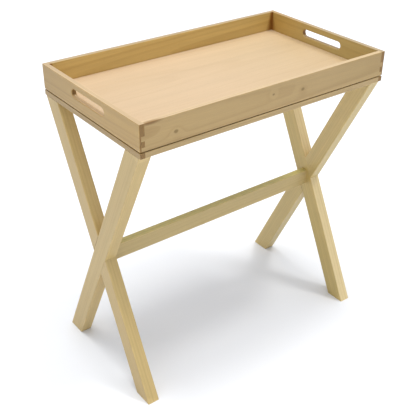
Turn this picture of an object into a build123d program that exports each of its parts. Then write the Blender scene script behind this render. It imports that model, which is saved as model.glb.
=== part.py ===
from build123d import *
import math
import os

# Tray table, in millimetres. +Z is up, X runs along the tray and -Y is the front.
# The origin is on the floor, under the middle of the table.

# Whole table
table_length = 640.0
table_width = 370.0
table_height = 690.0

# Tray
tray_side_height = 55.5
tray_board = 11.0
tray_floor_depth = 45.7
tray_floor_thickness = 5.0
tray_groove_depth = 5.5
tray_finger_lap = 3.5
tray_arris = 1.2

# Heights of the tray's corner fingers, from the rim down. A last one takes up what is left.
tray_fingers = [24.5, 10.0, 12.0]

# Hand slots in the tray's end boards
slot_length = 123.0
slot_height = 17.0
slot_top_depth = 14.0
slot_arris = 2.5

# Frame on top of the stand
shadow_gap = 2.0
rim_height = 11.5
rim_board = 11.0
rim_arris = 0.8
cleat_rebate = 2.0
cleat_arris = 1.5

# Legs and stretcher
leg_width = 44.0
leg_thickness = 28.0
leg_lean = 26.43
leg_arris = 1.6
crossing_height = 307.0
stretcher_height = 38.0
stretcher_thickness = 18.0
stretcher_middle_height = 305.3
stretcher_arris = 1.2

# Dowels that hold the stretcher
dowel_diameter = 8.0
dowel_depth_in_leg = 18.0
dowel_depth_in_stretcher = 22.0
dowel_spacing = 20.0

# Countersunk screws
leg_screw_diameter = 4.0
leg_screw_length = 45.0
leg_screw_spacing = 18.0
cleat_screw_diameter = 3.5
cleat_screw_length = 25.0
long_cleat_screws = 4
long_cleat_screw_spacing = 160.0
short_cleat_screw_spacing = 160.0
screw_head_ratio = 2.0
screw_point_ratio = 1.5
screw_sink = 0.3

# Gap left round a dowel or screw, for glue
glue_gap = 0.05

# Heights worked out from the ones above
tray_bottom = table_height - tray_side_height
tray_floor_top = table_height - tray_floor_depth
tray_floor_bottom = tray_floor_top - tray_floor_thickness
rim_top = tray_bottom - shadow_gap
rim_bottom = rim_top - rim_height
cleat_top = tray_floor_bottom

# Distances from the middle of the table
end_x = table_length / 2
front_y = table_width / 2
leg_inner_x = end_x - leg_thickness
cleat_outer_x = end_x - rim_board
cleat_outer_y = front_y - rim_board
cleat_width = leg_thickness - rim_board
tray_side_end_x = end_x - tray_finger_lap
lean = math.radians(leg_lean)


def block(low, high):
    """A box from its lowest corner to its highest."""
    size = [high[i] - low[i] for i in range(3)]
    middle = [(high[i] + low[i]) / 2 for i in range(3)]
    return Pos(*middle) * Box(*size)


def ring(outer_x, outer_y, wall, bottom, top, arris):
    """A rectangular frame whose outer corners and level edges are softened."""
    outer = block((-outer_x, -outer_y, bottom), (outer_x, outer_y, top))
    outer = fillet(outer.edges().filter_by(Axis.Z), arris)
    inner = block((wall - outer_x, wall - outer_y, bottom - 1), (outer_x - wall, outer_y - wall, top + 1))
    frame = outer - inner
    level_edges = frame.edges().group_by(Axis.Z)
    return fillet(level_edges[-1] + level_edges[0], arris)


def finger_levels():
    """Heights of the tray's corner fingers, from the rim down, as (low, high, owner)."""
    steps = tray_fingers + [tray_side_height - sum(tray_fingers)]
    levels = []
    high = table_height
    for i, step in enumerate(steps):
        owner = "end" if i % 2 == 0 else "side"
        levels.append((high - step, high, owner))
        high -= step
    return levels


def corner_fingers(owner):
    """The blocks of wood in the tray's four corners that belong to one kind of board.

    The long boards' fingers stop short, so that no end grain shows on the tray's ends."""
    reach_x = end_x if owner == "end" else tray_side_end_x
    blocks = []
    for low, high, level_owner in finger_levels():
        if level_owner != owner:
            continue
        for x_side in (-1, 1):
            for y_side in (-1, 1):
                x = sorted((x_side * reach_x, x_side * (end_x - tray_board)))
                y = sorted((y_side * front_y, y_side * (front_y - tray_board)))
                blocks.append(block((x[0], y[0], low), (x[1], y[1], high)))
    return blocks


def tray_floor():
    reach_x = end_x - tray_board + tray_groove_depth
    reach_y = front_y - tray_board + tray_groove_depth
    return block((-reach_x, -reach_y, tray_floor_bottom), (reach_x, reach_y, tray_floor_top))


def tray_side(y_side, frame, panel):
    """A long tray board, cut away where the end boards' fingers pass through it."""
    y = sorted((y_side * front_y, y_side * (front_y - tray_board)))
    board = block((-tray_side_end_x, y[0], tray_bottom), (tray_side_end_x, y[1], table_height))
    for finger in corner_fingers("end"):
        board -= finger
    return (board & frame) - panel


def tray_end(x_side, frame, panel):
    """A short tray board with its fingers and its hand slot."""
    x = sorted((x_side * end_x, x_side * (end_x - tray_board)))
    board = block((x[0], -front_y, tray_bottom), (x[1], front_y, table_height))
    for finger in corner_fingers("side"):
        board -= finger
    board = (board & frame) - panel
    slot_middle = table_height - slot_top_depth - slot_height / 2
    slot = Plane.YZ.offset(x[0] - 1) * Pos(0, slot_middle) * SlotOverall(slot_length, slot_height)
    board -= extrude(slot, tray_board + 2)
    return fillet(slot_rims(board, x, slot_middle), slot_arris)


def slot_rims(board, x, slot_middle):
    """The edges of the hand slot that lie in the board's two faces."""
    rims = []
    for edge in board.edges():
        place = edge.center()
        in_slot = abs(place.Z - slot_middle) <= slot_height and abs(place.Y) <= slot_length / 2
        on_face = min(abs(place.X - x[0]), abs(place.X - x[1])) < tray_board / 4
        below_rim = place.Z < table_height - slot_top_depth / 2
        if in_slot and on_face and below_rim and place.Z > tray_floor_top:
            rims.append(edge)
    return rims


def rim_end(x_side, frame):
    x = sorted((x_side * end_x, x_side * cleat_outer_x))
    return block((x[0], -front_y, rim_bottom), (x[1], front_y, rim_top)) & frame


def rim_side(y_side, frame):
    y = sorted((y_side * front_y, y_side * cleat_outer_y))
    return block((-cleat_outer_x, y[0], rim_bottom), (cleat_outer_x, y[1], rim_top)) & frame


def cleat(low, high):
    """A strip inside the rim. Above the rim it is rebated, so that the tray drops round it."""
    strip = block((low[0], low[1], rim_bottom), (high[0], high[1], cleat_top))
    rebate_x = cleat_outer_x - cleat_rebate
    rebate_y = cleat_outer_y - cleat_rebate
    strip &= block((low[0], low[1], rim_bottom), (high[0], high[1], rim_top)) + block(
        (-rebate_x, -rebate_y, rim_top), (rebate_x, rebate_y, cleat_top)
    )
    return fillet(strip.edges().group_by(Axis.Z)[-1], cleat_arris)


def cleat_end(x_side):
    x = sorted((x_side * cleat_outer_x, x_side * leg_inner_x))
    return cleat((x[0], -cleat_outer_y), (x[1], cleat_outer_y))


def cleat_side(y_side):
    y = sorted((y_side * cleat_outer_y, y_side * (cleat_outer_y - cleat_width)))
    return cleat((-leg_inner_x, y[0]), (leg_inner_x, y[1]))


def leg_middle_y(slope, height):
    """Where a leg's centre line is at a height. Slope +1 rises to the back, -1 to the front."""
    return slope * (height - crossing_height) * math.tan(lean)


def leg_prism(slope, low_x, high_x):
    """A square-edged leg, cut level at the floor and under the rim."""
    half_run = leg_width / (2 * math.cos(lean))
    foot_y = leg_middle_y(slope, 0)
    top_y = leg_middle_y(slope, rim_bottom)
    outline = [
        (foot_y - half_run, 0),
        (foot_y + half_run, 0),
        (top_y + half_run, rim_bottom),
        (top_y - half_run, rim_bottom),
    ]
    face = Plane.YZ.offset(low_x) * Polygon(*outline, align=None)
    return extrude(face, high_x - low_x)


def leg(x_side, slope):
    """One leg of an X. The two legs of an X are halved together, flush on both faces.

    The leg that rises to the back keeps the half nearer the table's middle."""
    x = sorted((x_side * end_x, x_side * leg_inner_x))
    middle_x = x_side * (end_x - leg_thickness / 2)
    prism = leg_prism(slope, x[0], x[1])
    long_edges = prism.edges().filter_by(lambda edge: edge.length > table_height / 2)
    prism = fillet(long_edges, leg_arris)
    kept_face_x = x_side * (leg_inner_x if slope > 0 else end_x)
    cut_face_x = x_side * (end_x if slope > 0 else leg_inner_x)
    cut_x = sorted((middle_x, cut_face_x + math.copysign(1, cut_face_x - kept_face_x)))
    return prism - leg_prism(-slope, cut_x[0], cut_x[1])


def stretcher():
    low_z = stretcher_middle_height - stretcher_height / 2
    half_y = stretcher_thickness / 2
    rail = block((-leg_inner_x, -half_y, low_z), (leg_inner_x, half_y, low_z + stretcher_height))
    return fillet(rail.edges().filter_by(Axis.X), stretcher_arris)


def dowels(x_side, gap):
    """The two dowels at one end of the stretcher, or with a gap the holes for them."""
    length = dowel_depth_in_leg + dowel_depth_in_stretcher + 2 * gap
    middle_x = leg_inner_x + (dowel_depth_in_leg - dowel_depth_in_stretcher) / 2
    pins = []
    for z_side in (-1, 1):
        place = Pos(x_side * middle_x, 0, stretcher_middle_height + z_side * dowel_spacing / 2)
        pins.append(place * Rot(0, 90, 0) * Cylinder(dowel_diameter / 2 + gap, length))
    return pins


def screw(diameter, length, gap):
    """A countersunk screw that points down from the origin, or with a gap the hole for it."""
    shank = diameter / 2
    head = shank * screw_head_ratio
    outline = [
        (0, 0),
        (head + gap, 0),
        (shank + gap, shank - head - gap),
        (shank + gap, -length + diameter * screw_point_ratio),
        (0, -length - gap),
    ]
    return revolve(Plane.XZ * Polygon(*outline, align=None), Axis.Z)


def driver_recess(diameter):
    """The cross-shaped recess in a screw's head."""
    slot = diameter / 4
    depth = diameter / 2
    arm = Pos(0, 0, -depth / 2) * Box(diameter * 1.1, slot, depth)
    return arm + Rot(0, 0, 90) * arm


def finished_screw(place, diameter, length):
    sunk = place * Pos(0, 0, -screw_sink)
    return sunk * (screw(diameter, length, 0) - driver_recess(diameter))


def screw_hole(place, diameter, length):
    """The hole for a screw, open through the countersink above its head."""
    head = diameter / 2 * screw_head_ratio + glue_gap
    mouth = Pos(0, 0, -screw_sink / 2) * Cylinder(head, screw_sink)
    shaft = Pos(0, 0, -screw_sink) * screw(diameter, length, glue_gap)
    return place * (mouth + shaft)


def leg_screw_places():
    """Down through the end cleats into the legs, two to a leg, near the middle of its top."""
    x = leg_inner_x + cleat_width / 2
    lean_allowance = leg_width / 8
    first_y = leg_middle_y(1, rim_bottom) - lean_allowance
    places = []
    for x_side in (-1, 1):
        for y_side in (-1, 1):
            for step in (-0.5, 0.5):
                y = y_side * (first_y + step * leg_screw_spacing)
                places.append(Pos(x_side * x, y, cleat_top))
    return places


def cleat_screw_places():
    """Level, out through the cleats into the rim."""
    z = (rim_bottom + rim_top) / 2
    places = []
    for side in (-1, 1):
        for i in range(long_cleat_screws):
            x = (i - (long_cleat_screws - 1) / 2) * long_cleat_screw_spacing
            places.append(Pos(x, side * (cleat_outer_y - cleat_width), z) * Rot(side * 90, 0, 0))
        for step in (-0.5, 0.5):
            y = step * short_cleat_screw_spacing
            places.append(Pos(side * leg_inner_x, y, z) * Rot(0, -side * 90, 0))
    return places


def without(solid, cuts):
    for cut in cuts:
        solid -= cut
    return solid


def build_table():
    """Every piece of the table, by name."""
    pieces = {}
    panel = tray_floor()
    tray_frame = ring(end_x, front_y, tray_board, tray_bottom, table_height, tray_arris)
    pieces["tray_base_panel"] = panel
    pieces["tray_side_front"] = tray_side(-1, tray_frame, panel)
    pieces["tray_side_back"] = tray_side(1, tray_frame, panel)
    pieces["tray_end_left"] = tray_end(-1, tray_frame, panel)
    pieces["tray_end_right"] = tray_end(1, tray_frame, panel)

    leg_screws = (leg_screw_diameter, leg_screw_length)
    cleat_screws = (cleat_screw_diameter, cleat_screw_length)
    screw_cuts = [screw_hole(place, *leg_screws) for place in leg_screw_places()]
    screw_cuts += [screw_hole(place, *cleat_screws) for place in cleat_screw_places()]
    dowel_cuts = dowels(-1, glue_gap) + dowels(1, glue_gap)

    stand_frame = ring(end_x, front_y, rim_board, rim_bottom, rim_top, rim_arris)
    for name, side in (("front", -1), ("back", 1)):
        pieces[f"rim_{name}"] = without(rim_side(side, stand_frame), screw_cuts)
        pieces[f"cleat_{name}"] = without(cleat_side(side), screw_cuts)
    for name, side in (("left", -1), ("right", 1)):
        pieces[f"rim_{name}"] = without(rim_end(side, stand_frame), screw_cuts)
        pieces[f"cleat_{name}"] = without(cleat_end(side), screw_cuts)
        pieces[f"{name}_leg_front"] = without(leg(side, 1), screw_cuts + dowel_cuts)
        pieces[f"{name}_leg_back"] = without(leg(side, -1), screw_cuts + dowel_cuts)

    pieces["stretcher"] = without(stretcher(), dowel_cuts)
    pieces["stretcher_dowels"] = Compound(children=dowels(-1, 0) + dowels(1, 0))
    pieces["leg_top_screws"] = Compound(
        children=[finished_screw(place, *leg_screws) for place in leg_screw_places()]
    )
    pieces["cleat_screws"] = Compound(
        children=[finished_screw(place, *cleat_screws) for place in cleat_screw_places()]
    )
    return pieces


os.makedirs("parts", exist_ok=True)
for node, piece in build_table().items():
    piece.label = node
    export_step(piece, f"parts/{node}.step")
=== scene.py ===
import math

import bpy
from mathutils import Matrix, Vector


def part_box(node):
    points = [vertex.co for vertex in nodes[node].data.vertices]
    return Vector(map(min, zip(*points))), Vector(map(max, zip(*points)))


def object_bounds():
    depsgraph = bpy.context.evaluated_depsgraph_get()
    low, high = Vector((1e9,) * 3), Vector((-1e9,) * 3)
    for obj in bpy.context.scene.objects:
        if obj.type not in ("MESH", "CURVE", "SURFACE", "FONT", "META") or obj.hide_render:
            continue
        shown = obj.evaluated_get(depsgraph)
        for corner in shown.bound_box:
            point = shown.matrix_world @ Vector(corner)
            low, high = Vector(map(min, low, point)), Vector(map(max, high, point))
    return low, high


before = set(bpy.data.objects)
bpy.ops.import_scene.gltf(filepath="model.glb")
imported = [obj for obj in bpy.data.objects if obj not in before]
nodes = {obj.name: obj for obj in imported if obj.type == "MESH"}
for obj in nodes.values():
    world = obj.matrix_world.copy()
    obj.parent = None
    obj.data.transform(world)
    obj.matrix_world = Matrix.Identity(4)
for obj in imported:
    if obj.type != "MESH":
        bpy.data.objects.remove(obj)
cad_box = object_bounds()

# Looks, light and camera for a wooden tray table. All of the table's shapes come from the frame.
# Lengths are in metres and colours are linear. +Z is up, X runs along the tray, and -Y is the front.
# A share is a colour that the wood's own is multiplied by, so (1, 1, 1) leaves it as it is.

MM = 0.001
X_AXIS = Vector((1, 0, 0))
Y_AXIS = Vector((0, 1, 0))
Z_AXIS = Vector((0, 0, 1))
NO_TINT = (1.0, 1.0, 1.0)
MIDDLE_GREY = 0.5


# ---------------------------------------------------------------- kinds of wood

# light, dark and end are the colours of early wood, late wood and end grain. ring is the width of a year,
# and warp is how far the rings stray. late, streak and fibre say how strongly each of these shows.
TRAY_WOOD = {
    "light": (0.452, 0.309, 0.126),
    "dark": (0.345, 0.215, 0.070),
    "end": (0.243, 0.130, 0.031),
    "ring": 0.0046,
    "warp": 0.006,
    "late": 0.54,
    "streak": 0.28,
    "fibre": 0.30,
}
FLOOR_WOOD = {
    "light": (0.575, 0.414, 0.248),
    "dark": (0.500, 0.345, 0.190),
    "end": (0.36, 0.24, 0.13),
    "ring": 0.011,
    "warp": 0.022,
    "late": 0.32,
    "streak": 0.14,
    "fibre": 0.18,
}
LEG_WOOD = {
    "light": (0.535, 0.398, 0.164),
    "dark": (0.420, 0.295, 0.101),
    "end": (0.26, 0.150, 0.050),
    "ring": 0.0046,
    "warp": 0.005,
    "late": 0.45,
    "streak": 0.24,
    "fibre": 0.30,
}

# Each noise in the wood: its lumps per metre along the grain, across the face and through the board, how
# many finer layers it has, and how strong they are. lean_years is the exception, for its first number is
# lumps per metre outwards from the pith.
NOISES = {
    "ring_warp": {"lumps": (3.0, 11.0, 11.0), "detail": 2.0},
    "ring_wander": {"lumps": (0.7, 16.0, 16.0), "detail": 1.0},
    "lean_years": {"lumps": (60.0, 1.0, 1.0), "detail": 1.0},
    "streak": {"lumps": (1.8, 75.0, 75.0), "detail": 3.0, "roughness": 0.6},
    "fibre": {"lumps": (22.0, 1300.0, 1300.0), "detail": 3.0, "roughness": 0.6},
    "blotch": {"lumps": (4.0, 9.0, 9.0), "detail": 2.0},
    "pore": {"lumps": (160.0, 2300.0, 2300.0), "detail": 1.0},
    "end_dot": {"lumps": (1500.0, 1500.0, 1500.0), "detail": 2.0},
    "rubbing": {"lumps": (26.0, 26.0, 26.0), "detail": 3.0},
}

# A board's seed times this is how far its noises are moved, so that no two boards match.
SEED_STEP = (3.1, 1.7, 2.3)

# Growth rings: how many years the two slow noises can shift a ring, how dark the wood gets in the course
# of a year, as (part of the year, darkness), and how strongly the faintest year shows.
WANDER_YEARS = 1.6
LEAN_YEARS = 2.6
ONE_YEAR = ((0.0, 0.05), (0.45, 0.12), (0.86, 1.0), (0.97, 0.75), (1.0, 0.05))
FAINTEST_YEAR = 0.25

# Knots. Each is longer along the grain than across it, by KNOT_LENGTH. The falls say how fast its colour
# and its push on the grain die away, and the push is in knot radii. FROM and FULL are the depths between
# which the brown comes on, up to KNOT_COVER. KNOT_LIGHT and the fibre add up to the brown's brightness.
KNOT_LENGTH = 1.35
KNOT_COLOUR_FALL = -0.9
KNOT_PUSH_FALL = -0.08
KNOT_PUSH = 1.2
KNOT_COLOUR_FROM = 0.25
KNOT_COLOUR_FULL = 0.8
KNOT_COVER = 0.8
KNOT_LIGHT = 0.6
KNOT_BROWN = (0.185, 0.110, 0.022)

# A darker patch is at its darkest within this part of its radii, and gone at its rim.
DARK_PATCH_COLOUR = (0.52, 0.40, 0.22)
DARK_PATCH_FULL = 0.2

# How much the other marks change the brightness, and the noise values from which wood counts as a pore or
# as rubbed, and at which it does so fully.
BLOTCH = 0.12
PORE_DARK = 0.10
WEAR_LIGHT = 0.12
PORE_FROM = 0.63
PORE_FULL = 0.74
RUBBED_FROM = 0.42
RUBBED_FULL = 0.66

# End grain: the brightness of its early and late wood, and how much of it is rings and how much is dots.
END_EARLY = 1.3
END_LATE = 0.6
END_RINGS = 0.5
END_DOTS = 0.5

# The cosines between which a face comes to count as looking one way, as end grain, and as looking up in a
# hand slot.
FACE_TURN = (0.5, 0.9)
END_TURN = (0.55, 0.9)
SLOT_TURN = (0.2, 0.7)

# Wear on the arrises is full up to the first distance from the edge, and gone at the second.
WEAR_FULL = 0.4 * MM
WEAR_GONE = 4.5 * MM

# Painted shade in the tray's inner corners: a strip beside the next wall, wider at the floor than at the
# height given below, and a thin, fainter line along the floor, where shade falls in the creases.
CORNER_SHADE = (0.50, 0.31, 0.13)
CORNER_SHADE_HEIGHT = 40.0 * MM
CORNER_SHADE_WIDTH_LOW = 20.0 * MM
CORNER_SHADE_WIDTH_HIGH = 6.0 * MM
FLOOR_SHADE_HEIGHT = 4.0 * MM
FLOOR_SHADE = 0.35

# The bottom of a hand slot is painted paler, as if lit from above: painted light. These distances below the
# board's top tell it from the top edge, which also looks up.
SLOT_PAINTED_LIGHT = (1.20, 1.15, 1.05)
SLOT_FROM = 8.0 * MM
SLOT_FULL = 10.0 * MM

# Lacquer: its gloss, its roughness, and how much fibre and end grain add to that and wear takes off it.
LACQUER = {"Specular IOR Level": 0.5, "Coat Weight": 0.12, "Coat Roughness": 0.25}
LACQUER_ROUGHNESS = 0.40
FIBRE_ROUGHNESS = 0.12
END_ROUGHNESS = 0.18
WORN_SMOOTHNESS = 0.10

# The depth of the surface's relief, and how much of it fibre, late wood and pores each make up.
WOOD_RELIEF = 0.12 * MM
FIBRE_HEIGHT = 0.45
LATE_HEIGHT = 0.35
PORE_DEPTH = 0.5


# ---------------------------------------------------------------- the boards

# What sets each board apart from the others of its wood. The docstring of wood() explains the entries.
TRAY_WALLS = {
    "tray_side_front": {
        "seed": 1.0,
        "pith": (0.004, -0.062),
        "tilt": (0.004, 0.012),
        "tint": (1.02, 0.99, 0.94),
        "fades": [(X_AXIS, 0.12, 0.31, (0.95, 0.95, 0.88))],
        "knots": [(-0.241, -0.0065, 0.0042), (0.0755, -0.0013, 0.0038), (-0.0045, 0.0065, 0.0026)],
        "dark_patches": [((-0.296, 0.0262, 0.0055), (0.034, 0.0062, 0.0080))],
    },
    "tray_side_back": {
        "seed": 2.3,
        "pith": (-0.012, 0.071),
        "tilt": (-0.006, 0.014),
    },
    "tray_end_left": {
        "seed": 3.7,
        "pith": (0.015, -0.055),
        "tilt": (0.004, -0.006),
        "tint": (1.05, 0.96, 0.70),
        "fades": [(Y_AXIS, -0.08, 0.20, (0.87, 0.87, 0.85))],
        "slot": True,
    },
    "tray_end_right": {
        "seed": 4.9,
        "pith": (-0.01, 0.06),
        "tilt": (0.004, 0.008),
        "tint": (1.01, 1.04, 1.10),
        "fades": [(Y_AXIS, -0.05, 0.17, (1.05, 0.91, 0.68))],
        "slot": True,
    },
}

# Painted light and shade for how the light falls: the way each wall's inner face looks, with its share,
# and the share of each wall's top edge.
INNER_FACE_LIGHT = {
    "tray_side_front": (Y_AXIS, (1.39, 1.40, 1.12)),
    "tray_side_back": (-Y_AXIS, (1.39, 1.40, 1.12)),
    "tray_end_left": (X_AXIS, (1.18, 1.25, 1.04)),
    "tray_end_right": (-X_AXIS, (1.18, 1.25, 1.04)),
}
TOP_EDGE_LIGHT = {
    "tray_side_front": (1.31, 1.44, 2.13),
    "tray_side_back": (0.93, 0.98, 1.27),
    "tray_end_left": (1.17, 1.34, 2.52),
    "tray_end_right": (0.93, 0.98, 1.27),
}

TRAY_FLOOR = {
    "seed": 6.1,
    "pith": (0.05, -0.09),
    "tilt": (0.012, 0.03),
    "fades": [
        # Painted light: paler towards the back wall, as if lit by light thrown back off it.
        (Y_AXIS, 0.06, 0.16, (1.06, 1.08, 1.13)),
        (X_AXIS, -0.10, 0.30, (0.95, 0.955, 0.89)),
    ],
}

LEGS = {
    "left_leg_front": {
        "seed": 8.0,
        "pith": (-0.03, -0.05),
        "tilt": (-0.006, 0.008),
        "tint": (0.99, 0.94, 0.90),
    },
    "left_leg_back": {
        "seed": 9.37,
        "pith": (0.03, -0.042),
        "tilt": (0.006, 0.011),
        "tint": (1.00, 0.96, 0.91),
    },
    "right_leg_front": {
        "seed": 10.74,
        "pith": (-0.03, -0.034),
        "tilt": (-0.006, 0.014),
        "tint": (1.05, 1.05, 0.90),
    },
    "right_leg_back": {
        "seed": 12.11,
        "pith": (0.03, -0.026),
        "tilt": (0.006, 0.017),
        "tint": (1.10, 1.11, 1.08),
    },
}

# A leg's width is measured within this part of its height from its middle, clear of its level-cut ends.
LEG_MIDDLE = 0.3

# Painted light and shade: the share of each leg's face that looks to the front.
LEG_EDGE_LIGHT = {
    "left_leg_front": (1.05, 1.08, 1.10),
    "left_leg_back": (1.10, 1.11, 1.14),
    "right_leg_front": (1.30, 1.37, 2.00),
    "right_leg_back": (0.95, 0.95, 0.97),
}

STRETCHER = {
    "seed": 15.2,
    "pith": (-0.02, 0.05),
    "tilt": (0.004, 0.01),
    # The top is painted lighter: painted light.
    "faces": [(Z_AXIS, (1.25, 1.48, 1.42))],
}
DOWELS = {
    "seed": 29.0,
    "pith": (0.0, 0.02),
    "tilt": (0.0, 0.0),
}

# The rim and the cleats. Their seeds and piths move on by equal steps from strip to strip.
STRIP_SIDES = ("front", "back", "left", "right")
STRIP_KINDS = ("rim", "cleat")
FIRST_STRIP_SEED = 17.0
SIDE_SEED_STEP = 2.1
KIND_SEED_STEP = 0.9
STRIP_PITH_ACROSS = 0.02
FIRST_STRIP_PITH_THROUGH = 0.04
SIDE_PITH_STEP = 0.006
STRIP_TILT = (0.003, 0.008)
STRIP_TINT = (0.99, 0.99, 1.0)
# The left rim is painted darker: painted shade from the tray and the gap above it.
LEFT_RIM_SHADE = (0.84, 0.79, 0.66)


# ---------------------------------------------------------------- steel, studio and camera

ZINC_LIGHT = (0.62, 0.60, 0.55)
ZINC_DARK = (0.50, 0.46, 0.38)
ZINC_CLOUD = {"lumps": (240.0, 240.0, 240.0), "detail": 3.0}
ZINC_CLOUD_FROM = 0.35
ZINC_CLOUD_FULL = 0.65
TURNED_GRAIN = {"lumps": (900.0, 900.0, 4200.0), "detail": 2.0}
STEEL_ROUGHNESS = 0.22
TURNED_ROUGHNESS = 0.22
STEEL_RELIEF = 0.02 * MM

FLOOR_REACH = 14.0
FLOOR_CLOUD = {"lumps": (2.0, 2.0, 2.0), "detail": 2.0}
FLOOR_DARK = (0.79, 0.80, 0.815)
FLOOR_LIGHT = (0.81, 0.82, 0.835)
FLOOR_ROUGHNESS = 0.9
FLOOR_GLOSS = 0.1
FLOOR_RELIEF = 0.01 * MM

# Each sun stands for a softbox: the way to it, its strength, and the angle that it spreads over in degrees.
SUNS = {
    "overhead_dome": ((0.0, 0.0, 1.0), 1.5, 80.0),
    "overhead_softbox": ((-0.05, 0.05, 1.0), 1.07, 16.0),
    "right_softbox": ((0.33, -0.2, 1.0), 0.68, 10.0),
}
SKY_COLOUR = (0.92, 0.97, 1.06, 1.0)
SKY_STRENGTH = 0.57
WALL_COLOUR = (1.0, 1.0, 1.0, 1.0)

# The camera's lens and sensor are in millimetres and its angles in degrees, with azimuth 0 at the front.
# Its aim and distance are in lengths of the table.
LENS = 64.73
SENSOR_WIDTH = 36.0
AZIMUTH = -37.69
ELEVATION = 31.58
ROLL = 0.67
AIM = Vector((-0.021, 0.021, 0.4866))
DISTANCE = 2.8


# ---------------------------------------------------------------- shader nodes

# A Mix node has its own sockets for each type of data. These are the colour ones.
MIX_COLOUR_A = 6
MIX_COLOUR_B = 7
MIX_COLOUR_OUT = 2


class Graph:
    """Shader nodes in short form. Most methods add nodes and return the last one's output."""

    def __init__(self, name):
        self.material = bpy.data.materials.new(name)
        self.material.use_nodes = True
        self.tree = self.material.node_tree
        self.tree.nodes.clear()

    def feed(self, socket, value):
        if isinstance(value, bpy.types.NodeSocket):
            self.tree.links.new(value, socket)
        else:
            socket.default_value = value

    def node(self, kind, settings=None, inputs=None):
        made = self.tree.nodes.new(kind)
        for key, value in (settings or {}).items():
            setattr(made, key, value)
        for key, value in (inputs or {}).items():
            self.feed(made.inputs[key], value)
        return made

    def place(self, kind="Object"):
        """Texture coordinates, which are the place in the table or, as "Normal", the way a face looks."""
        return self.node("ShaderNodeTexCoord").outputs[kind]

    def math(self, operation, a, b=0.0):
        return self.node("ShaderNodeMath", {"operation": operation}, {0: a, 1: b}).outputs[0]

    def add(self, a, b):
        return self.math("ADD", a, b)

    def less(self, a, b):
        return self.math("SUBTRACT", a, b)

    def times(self, a, b):
        return self.math("MULTIPLY", a, b)

    def over(self, a, b):
        return self.math("DIVIDE", a, b)

    def swing(self, value, amount):
        """A value from 0 to 1 as a change, from half the amount down to half the amount up."""
        return self.times(self.less(value, MIDDLE_GREY), amount)

    def vector(self, operation, a, b=(0, 0, 0)):
        made = self.node("ShaderNodeVectorMath", {"operation": operation}, {0: a, 1: b})
        scalar = operation in ("DOT_PRODUCT", "LENGTH")
        return made.outputs["Value" if scalar else "Vector"]

    def scaled(self, vector, factor):
        made = self.node("ShaderNodeVectorMath", {"operation": "SCALE"}, {0: vector, "Scale": factor})
        return made.outputs["Vector"]

    def split(self, vector):
        return self.node("ShaderNodeSeparateXYZ", None, {0: vector}).outputs

    def joined(self, x, y, z):
        return self.node("ShaderNodeCombineXYZ", None, {0: x, 1: y, 2: z}).outputs[0]

    def noise(self, place, lumps, detail, roughness=0.5, output="Fac"):
        """Noise with its own number of lumps per metre along each axis."""
        inputs = {
            "Vector": self.vector("MULTIPLY", place, lumps),
            "Scale": 1.0,
            "Detail": detail,
            "Roughness": roughness,
        }
        return self.node("ShaderNodeTexNoise", None, inputs).outputs[output]

    def remap(self, value, low, high, to_low=0.0, to_high=1.0, smooth=True):
        kind = {"interpolation_type": "SMOOTHSTEP" if smooth else "LINEAR"}
        inputs = {0: value, 1: low, 2: high, 3: to_low, 4: to_high}
        return self.node("ShaderNodeMapRange", kind, inputs).outputs[0]

    def towards(self, normal, direction, turn):
        """1 where a surface looks along a direction, fading to 0 between two cosines."""
        return self.remap(self.vector("DOT_PRODUCT", normal, tuple(direction)), *turn)

    def mix(self, amount, a, b):
        made = self.node("ShaderNodeMix", {"data_type": "RGBA", "blend_type": "MIX"})
        self.feed(made.inputs[0], amount)
        for socket, value in ((MIX_COLOUR_A, a), (MIX_COLOUR_B, b)):
            if not isinstance(value, bpy.types.NodeSocket):
                value = (*value, 1.0)
            self.feed(made.inputs[socket], value)
        return made.outputs[MIX_COLOUR_OUT]

    def shared(self, colour, share, amount):
        """The colour times a share where the amount is 1, and the plain colour where it is 0."""
        return self.mix(amount, colour, self.vector("MULTIPLY", colour, share))

    def curve(self, value, stops):
        """A grey ramp through (position, brightness) stops."""
        made = self.node("ShaderNodeValToRGB", None, {0: value})
        ramp = made.color_ramp
        ramp.interpolation = "EASE"
        while len(ramp.elements) < len(stops):
            ramp.elements.new(1.0)
        for element, (position, grey) in zip(ramp.elements, stops):
            element.position = position
            element.color = (grey, grey, grey, 1.0)
        return made.outputs[0]

    def finish(self, colour, roughness, height, relief, settings):
        """The surface: a Principled shader, with a bump as deep as the relief where the height is 1."""
        bump = self.node("ShaderNodeBump", None, {"Strength": 1.0, "Distance": relief, "Height": height})
        inputs = {"Base Color": colour, "Roughness": roughness, "Normal": bump.outputs[0]}
        inputs.update(settings)
        shader = self.node("ShaderNodeBsdfPrincipled", None, inputs)
        out = self.node("ShaderNodeOutputMaterial")
        self.tree.links.new(shader.outputs[0], out.inputs[0])
        return self.material


# ---------------------------------------------------------------- where each board lies

def board_frame(node):
    """The middle and half sizes of a straight board, with its long, wide and thin axes."""
    low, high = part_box(node)
    middle = (low + high) / 2
    half = (high - low) / 2
    order = sorted(range(3), key=lambda i: -half[i])
    long_axis, wide_axis = ((X_AXIS, Y_AXIS, Z_AXIS)[i] for i in order[:2])
    return middle, [half[i] for i in order], (long_axis, wide_axis, long_axis.cross(wide_axis))


def leg_frame(node):
    """The same for a leaning leg, whose long axis runs from the middle of its foot to that of its top."""
    corners = [v.co for v in nodes[node].data.vertices]
    low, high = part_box(node)
    ends = []
    for level in (low.z, high.z):
        across = [v.y for v in corners if abs(v.z - level) < MM]
        ends.append(Vector(((low.x + high.x) / 2, (min(across) + max(across)) / 2, level)))
    grain = (ends[1] - ends[0]).normalized()
    wide = X_AXIS.cross(grain)
    middle = (ends[0] + ends[1]) / 2
    near_middle = [v for v in corners if abs(v.z - middle.z) < LEG_MIDDLE * high.z]
    half_wide = max(abs((v - middle).dot(wide)) for v in near_middle)
    half = [(ends[1] - ends[0]).length / 2, half_wide, (high.x - low.x) / 2]
    return middle, half, (grain, wide, X_AXIS)


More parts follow.
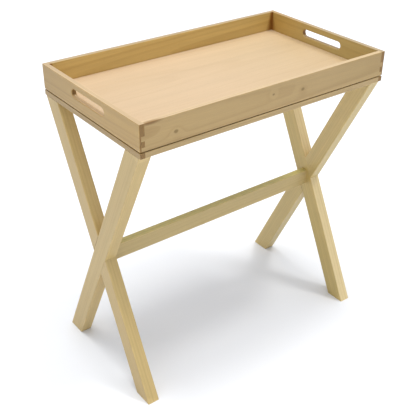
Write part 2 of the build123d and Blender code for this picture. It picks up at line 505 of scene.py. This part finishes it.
def local_place(graph, middle, axes):
    """The place from the board's middle: X along the grain, Y across the face and Z through it."""
    turn = Matrix(axes)
    inputs = {
        "Vector": graph.place(),
        "Location": -(turn @ middle),
        "Rotation": turn.to_euler("XYZ"),
    }
    return graph.node("ShaderNodeMapping", {"vector_type": "POINT"}, inputs).outputs[0]


# ---------------------------------------------------------------- wood

def knot_field(graph, place, knots):
    """How deep in a knot each point is, and how far the knots push the grain aside."""
    parts = graph.split(place)
    inside = 0.0
    push = 0.0
    for along, across, radius in knots:
        dx = graph.over(graph.less(parts[0], along), radius * KNOT_LENGTH)
        dy = graph.over(graph.less(parts[1], across), radius)
        square = graph.add(graph.times(dx, dx), graph.times(dy, dy))
        depth = graph.math("EXPONENT", graph.times(square, KNOT_COLOUR_FALL))
        inside = graph.math("MAXIMUM", inside, depth)
        swirl = graph.math("EXPONENT", graph.times(square, KNOT_PUSH_FALL))
        push = graph.add(push, graph.times(swirl, radius * KNOT_PUSH))
    return inside, push


def growth_rings(graph, place, shifted, push, look, pith, tilt):
    """The log's rings, cut by the board: how late in its year each point grew, from 0 to 1."""
    warp = graph.noise(shifted, output="Color", **NOISES["ring_warp"])
    warp = graph.vector("SUBTRACT", warp, (MIDDLE_GREY, MIDDLE_GREY, MIDDLE_GREY))
    parts = graph.split(graph.vector("ADD", place, graph.scaled(warp, look["warp"])))
    across = graph.add(graph.less(parts[1], pith[0]), graph.times(parts[0], tilt[0]))
    through = graph.add(graph.less(parts[2], pith[1]), graph.times(parts[0], tilt[1]))
    radius = graph.add(graph.vector("LENGTH", graph.joined(0.0, across, through)), push)
    lean = graph.noise(graph.joined(radius, 0.0, 0.0), **NOISES["lean_years"])
    wander = graph.noise(shifted, **NOISES["ring_wander"])
    years = graph.over(radius, look["ring"])
    years = graph.add(years, graph.times(wander, WANDER_YEARS))
    years = graph.add(years, graph.times(lean, LEAN_YEARS))
    late = graph.curve(graph.math("FRACT", years), ONE_YEAR)
    year = graph.node("ShaderNodeTexWhiteNoise", {"noise_dimensions": "1D"})
    graph.feed(year.inputs["W"], graph.math("FLOOR", years))
    strength = graph.remap(year.outputs[0], 0.0, 1.0, FAINTEST_YEAR, 1.0, smooth=False)
    return graph.times(late, strength)


def worn_edges(graph, place, half, shifted):
    """1 where an arris has been rubbed, fading to 0 a few millimetres away."""
    size = graph.vector("ABSOLUTE", place)
    gaps = graph.split(graph.vector("SUBTRACT", half, size))
    nearest = graph.math("MINIMUM", gaps[1], gaps[2])
    second = graph.math("MAXIMUM", gaps[1], gaps[2])
    reach = graph.math("MAXIMUM", nearest, graph.math("MINIMUM", second, gaps[0]))
    edge = graph.remap(reach, WEAR_FULL, WEAR_GONE, 1.0, 0.0)
    rubbing = graph.noise(shifted, **NOISES["rubbing"])
    return graph.times(edge, graph.remap(rubbing, RUBBED_FROM, RUBBED_FULL))


def inner_corners(graph, place, half, floor_level, inward, normal):
    """Painted shade: 1 where a tray wall meets the next wall or the floor, on its inner face only."""
    parts = graph.split(place)
    thickness = half[2] * 2
    to_wall = graph.less(half[0] - thickness, graph.math("ABSOLUTE", parts[0]))
    to_floor = graph.less(parts[1], floor_level)
    width = graph.remap(to_floor, 0.0, CORNER_SHADE_HEIGHT, CORNER_SHADE_WIDTH_LOW, CORNER_SHADE_WIDTH_HIGH, smooth=False)
    beside = graph.remap(graph.over(to_wall, width), 0.0, 1.0, 1.0, 0.0)
    below = graph.remap(to_floor, 0.0, FLOOR_SHADE_HEIGHT, FLOOR_SHADE, 0.0)
    return graph.times(graph.math("MAXIMUM", beside, below), graph.towards(normal, inward, FACE_TURN))


def hand_slot(graph, place, half, normal):
    """1 on the surfaces of an end board's hand slot that look up, which get painted light."""
    below_top = graph.less(half[1], graph.split(place)[1])
    upward = graph.towards(normal, Z_AXIS, SLOT_TURN)
    return graph.times(upward, graph.remap(below_top, SLOT_FROM, SLOT_FULL))


def dark_patch_field(graph, place, dark_patches):
    """1 in the middle of a bruise, fading to 0 at its rim."""
    inside = 0.0
    for middle, radii in dark_patches:
        offset = graph.vector("DIVIDE", graph.vector("SUBTRACT", place, middle), radii)
        depth = graph.remap(graph.vector("LENGTH", offset), DARK_PATCH_FULL, 1.0, 1.0, 0.0)
        inside = graph.math("MAXIMUM", inside, depth)
    return inside


def sawn_colour(graph, look, late, marks, tint):
    """Early and late wood, with streaks, fibres, blotches and pores."""
    colour = graph.mix(graph.times(late, look["late"]), look["light"], look["dark"])
    shade = graph.swing(marks["streak"], look["streak"])
    shade = graph.add(shade, graph.swing(marks["fibre"], look["fibre"]))
    shade = graph.add(shade, graph.swing(marks["blotch"], BLOTCH))
    shade = graph.less(shade, graph.times(marks["pore"], PORE_DARK))
    return graph.vector("MULTIPLY", graph.scaled(colour, graph.add(shade, 1.0)), tint)


def end_colour(graph, look, late, shifted):
    """End grain: rings and small dots."""
    dots = graph.noise(shifted, **NOISES["end_dot"])
    amount = graph.add(graph.times(late, END_RINGS), graph.times(dots, END_DOTS))
    return graph.mix(amount, [c * END_EARLY for c in look["end"]], [c * END_LATE for c in look["end"]])


def wood(
    name, board, look, seed, pith, tilt,
    tint=NO_TINT, faces=(), fades=(), knots=(), dark_patches=(), corner=None, slot=False,
):
    """A lacquered solid wood whose grain runs along its board.

    board: the board's middle, half sizes and axes.
    look: one of the kinds of wood.
    seed: where in the noises this board lies.
    pith: the place of the log's centre, across the face and through the board from its middle.
    tilt: how much the board's distance from that centre changes, both ways, per metre of its length.
    tint: the share of the sawn wood, but not of the end grain.
    faces: (direction, share), painted light and shade: the share of the face that looks that way.
    fades: (axis, start, stop, share), a share that comes on from start to stop along an axis of the table.
    knots: (along, across, radius), from the board's middle.
    bruises: (middle, radii), each along, across and through the board.
    corner: a tray wall's floor level, from its middle, and its inward direction, for painted shade.
    slot: whether the board has a hand slot, whose bottom gets painted light.
    """
    graph = Graph(name)
    middle, half, axes = board
    place = local_place(graph, middle, axes)
    normal = graph.place("Normal")
    shifted = graph.vector("ADD", place, [step * seed for step in SEED_STEP])
    inside, push = knot_field(graph, place, knots)
    late = growth_rings(graph, place, shifted, push, look, pith, tilt)
    marks = {kind: graph.noise(shifted, **NOISES[kind]) for kind in ("streak", "fibre", "blotch", "pore")}
    marks["pore"] = graph.remap(marks["pore"], PORE_FROM, PORE_FULL)

    colour = sawn_colour(graph, look, late, marks, tint)
    along_grain = graph.math("ABSOLUTE", graph.vector("DOT_PRODUCT", normal, tuple(axes[0])))
    end = graph.remap(along_grain, *END_TURN)
    colour = graph.mix(end, colour, end_colour(graph, look, late, shifted))
    for axis, start, stop, share in fades:
        along = graph.vector("DOT_PRODUCT", graph.place(), tuple(axis))
        colour = graph.shared(colour, share, graph.remap(along, start, stop))
    for direction, share in faces:
        colour = graph.shared(colour, share, graph.towards(normal, direction, FACE_TURN))
    # Painted shade in the tray's inner corners and along its floor.
    if corner:
        colour = graph.shared(colour, CORNER_SHADE, inner_corners(graph, place, half, *corner, normal))
    # Painted light on the bottom of the hand slot.
    if slot:
        colour = graph.shared(colour, SLOT_PAINTED_LIGHT, hand_slot(graph, place, half, normal))
    if knots:
        spot = graph.remap(inside, KNOT_COLOUR_FROM, KNOT_COLOUR_FULL, 0.0, KNOT_COVER)
        colour = graph.mix(spot, colour, graph.scaled(KNOT_BROWN, graph.add(marks["fibre"], KNOT_LIGHT)))
    if dark_patches:
        colour = graph.shared(colour, DARK_PATCH_COLOUR, dark_patch_field(graph, place, dark_patches))
    wear = worn_edges(graph, place, half, shifted)
    colour = graph.scaled(colour, graph.add(1.0, graph.times(wear, WEAR_LIGHT)))

    roughness = graph.add(LACQUER_ROUGHNESS, graph.times(marks["fibre"], FIBRE_ROUGHNESS))
    roughness = graph.add(roughness, graph.times(end, END_ROUGHNESS))
    roughness = graph.less(roughness, graph.times(wear, WORN_SMOOTHNESS))
    height = graph.add(graph.times(marks["fibre"], FIBRE_HEIGHT), graph.times(late, LATE_HEIGHT))
    height = graph.less(height, graph.times(marks["pore"], PORE_DEPTH))
    return graph.finish(colour, roughness, height, WOOD_RELIEF, LACQUER)


# ---------------------------------------------------------------- steel

def zinc_steel(name):
    """Zinc-plated steel: a yellowish grey metal with a fine turned grain."""
    graph = Graph(name)
    turned = graph.noise(graph.place(), **TURNED_GRAIN)
    cloud = graph.noise(graph.place(), **ZINC_CLOUD)
    colour = graph.mix(graph.remap(cloud, ZINC_CLOUD_FROM, ZINC_CLOUD_FULL), ZINC_LIGHT, ZINC_DARK)
    roughness = graph.add(STEEL_ROUGHNESS, graph.times(turned, TURNED_ROUGHNESS))
    return graph.finish(colour, roughness, turned, STEEL_RELIEF, {"Metallic": 1.0})


# ---------------------------------------------------------------- which piece has which finish

def paint(node, material):
    mesh = nodes[node].data
    mesh.materials.clear()
    mesh.materials.append(material)


def paint_tray():
    floor_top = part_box("tray_base_panel")[1].z
    for node, wall in TRAY_WALLS.items():
        board = board_frame(node)
        inward = INNER_FACE_LIGHT[node][0]
        # Painted light on the inner face and the top edge.
        faces = [INNER_FACE_LIGHT[node], (Z_AXIS, TOP_EDGE_LIGHT[node])]
        corner = (floor_top - board[0].z, inward)
        paint(node, wood(node, board, TRAY_WOOD, faces=faces, corner=corner, **wall))
    floor = board_frame("tray_base_panel")
    paint("tray_base_panel", wood("tray_floor", floor, FLOOR_WOOD, **TRAY_FLOOR))


def paint_legs():
    for node, leg in LEGS.items():
        board = leg_frame(node)
        to_front = board[2][1]
        # Painted light and shade on the face that looks to the front.
        paint(node, wood(node, board, LEG_WOOD, faces=[(to_front, LEG_EDGE_LIGHT[node])], **leg))
    paint("stretcher", wood("stretcher", board_frame("stretcher"), LEG_WOOD, **STRETCHER))


def paint_top_frame():
    for i, side in enumerate(STRIP_SIDES):
        for j, kind in enumerate(STRIP_KINDS):
            node = f"{kind}_{side}"
            strip = {
                "seed": FIRST_STRIP_SEED + SIDE_SEED_STEP * i + KIND_SEED_STEP * j,
                "pith": (STRIP_PITH_ACROSS, FIRST_STRIP_PITH_THROUGH + SIDE_PITH_STEP * i),
                "tilt": STRIP_TILT,
                # The left rim gets painted shade.
                "tint": LEFT_RIM_SHADE if node == "rim_left" else STRIP_TINT,
            }
            paint(node, wood(node, board_frame(node), TRAY_WOOD, **strip))


def paint_fixings():
    paint("stretcher_dowels", wood("dowel", board_frame("stretcher_dowels"), LEG_WOOD, **DOWELS))
    for node in ("leg_top_screws", "cleat_screws"):
        paint(node, zinc_steel(node))


# ---------------------------------------------------------------- studio

def add_object(name, data):
    made = bpy.data.objects.new(name, data)
    bpy.context.scene.collection.objects.link(made)
    return made


def make_floor():
    """A pale studio floor that runs far past the view."""
    mesh = bpy.data.meshes.new("studio_floor")
    corners = [(x * FLOOR_REACH, y * FLOOR_REACH, 0) for x, y in ((-1, -1), (1, -1), (1, 1), (-1, 1))]
    mesh.from_pydata(corners, [], [(0, 1, 2, 3)])
    floor = add_object("studio_floor", mesh)
    graph = Graph("studio_floor")
    cloud = graph.noise(graph.place(), **FLOOR_CLOUD)
    colour = graph.mix(cloud, FLOOR_DARK, FLOOR_LIGHT)
    gloss = {"Specular IOR Level": FLOOR_GLOSS}
    mesh.materials.append(graph.finish(colour, FLOOR_ROUGHNESS, cloud, FLOOR_RELIEF, gloss))


def make_suns():
    for name, (towards, strength, spread) in SUNS.items():
        data = bpy.data.lights.new(name, "SUN")
        data.energy = strength
        data.angle = math.radians(spread)
        sun = add_object(name, data)
        sun.rotation_mode = "QUATERNION"
        sun.rotation_quaternion = Vector(towards).to_track_quat("Z", "Y")


def make_sky():
    """A dim sky for the light, which the camera sees as a white wall."""
    world = bpy.data.worlds.new("studio")
    world.use_nodes = True
    tree = world.node_tree
    sky = tree.nodes["Background"]
    sky.inputs["Color"].default_value = SKY_COLOUR
    sky.inputs["Strength"].default_value = SKY_STRENGTH
    wall = tree.nodes.new("ShaderNodeBackground")
    wall.inputs["Color"].default_value = WALL_COLOUR
    seen = tree.nodes.new("ShaderNodeLightPath").outputs["Is Camera Ray"]
    either = tree.nodes.new("ShaderNodeMixShader")
    tree.links.new(seen, either.inputs[0])
    tree.links.new(sky.outputs[0], either.inputs[1])
    tree.links.new(wall.outputs[0], either.inputs[2])
    tree.links.new(either.outputs[0], tree.nodes["World Output"].inputs["Surface"])
    bpy.context.scene.world = world


def make_studio():
    make_floor()
    make_suns()
    make_sky()
    bpy.context.scene.view_settings.view_transform = "Standard"


def make_camera():
    """A camera that looks down on the table from the left front."""
    data = bpy.data.cameras.new("camera")
    data.lens = LENS
    data.sensor_width = SENSOR_WIDTH
    camera = add_object("camera", data)
    azimuth, elevation, roll = (math.radians(angle) for angle in (AZIMUTH, ELEVATION, ROLL))
    back = Vector((
        math.sin(azimuth) * math.cos(elevation),
        -math.cos(azimuth) * math.cos(elevation),
        math.sin(elevation),
    ))
    right = (-back).cross(Z_AXIS).normalized()
    up = right.cross(-back)
    turned_right = right * math.cos(roll) + up * math.sin(roll)
    turned_up = up * math.cos(roll) - right * math.sin(roll)
    turn = Matrix((turned_right, turned_up, back)).transposed().to_4x4()
    length = cad_box[1].x - cad_box[0].x
    camera.matrix_world = Matrix.Translation(AIM * length + back * DISTANCE * length) @ turn
    bpy.context.scene.camera = camera


make_camera()
make_studio()
paint_tray()
paint_legs()
paint_top_frame()
paint_fixings()
